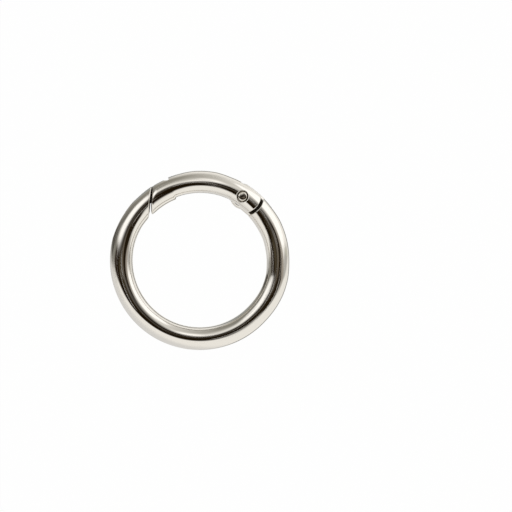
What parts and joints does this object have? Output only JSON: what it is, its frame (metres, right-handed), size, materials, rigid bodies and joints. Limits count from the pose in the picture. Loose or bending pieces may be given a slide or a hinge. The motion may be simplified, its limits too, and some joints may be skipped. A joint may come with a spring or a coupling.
{
  "type": "spring gate ring",
  "caption": "Round-wire metal ring with a hinged, sprung gate that swings inwards on a rivet to let in a strap, key or loop.",
  "frame": {"origin": "centre of the eye, in the middle of the wire's thickness", "axes": "+Z along the ring's axis; +Y towards the gate; the rivet is 56 degrees from +X towards +Y"},
  "size_m": [0.0336, 0.0336, 0.0042],
  "materials": {
    "nickel_plated_casting": "polished die casting with bright, slightly warm nickel plate",
    "nickel_plated_steel": "formed over and nickel plated",
    "spring_wire": "drawn spring wire"
  },
  "bodies": {
    "ring": {"ring_body": "nickel_plated_casting"},
    "gate": {"gate": "nickel_plated_casting", "hinge_rivet": "nickel_plated_steel", "gate_spring": "spring_wire"}
  },
  "joints": [
    {"name": "gate_hinge", "type": "hinge", "parent": "ring", "child": "gate", "pos_m": [0.00805, 0.01194, 0], "axis": [0, 0, 1], "range_deg": [0, 35], "stiffness_Nm_per_rad": 0.012, "springref_deg": -51.57, "deforming": ["gate_spring"]}
  ]
}
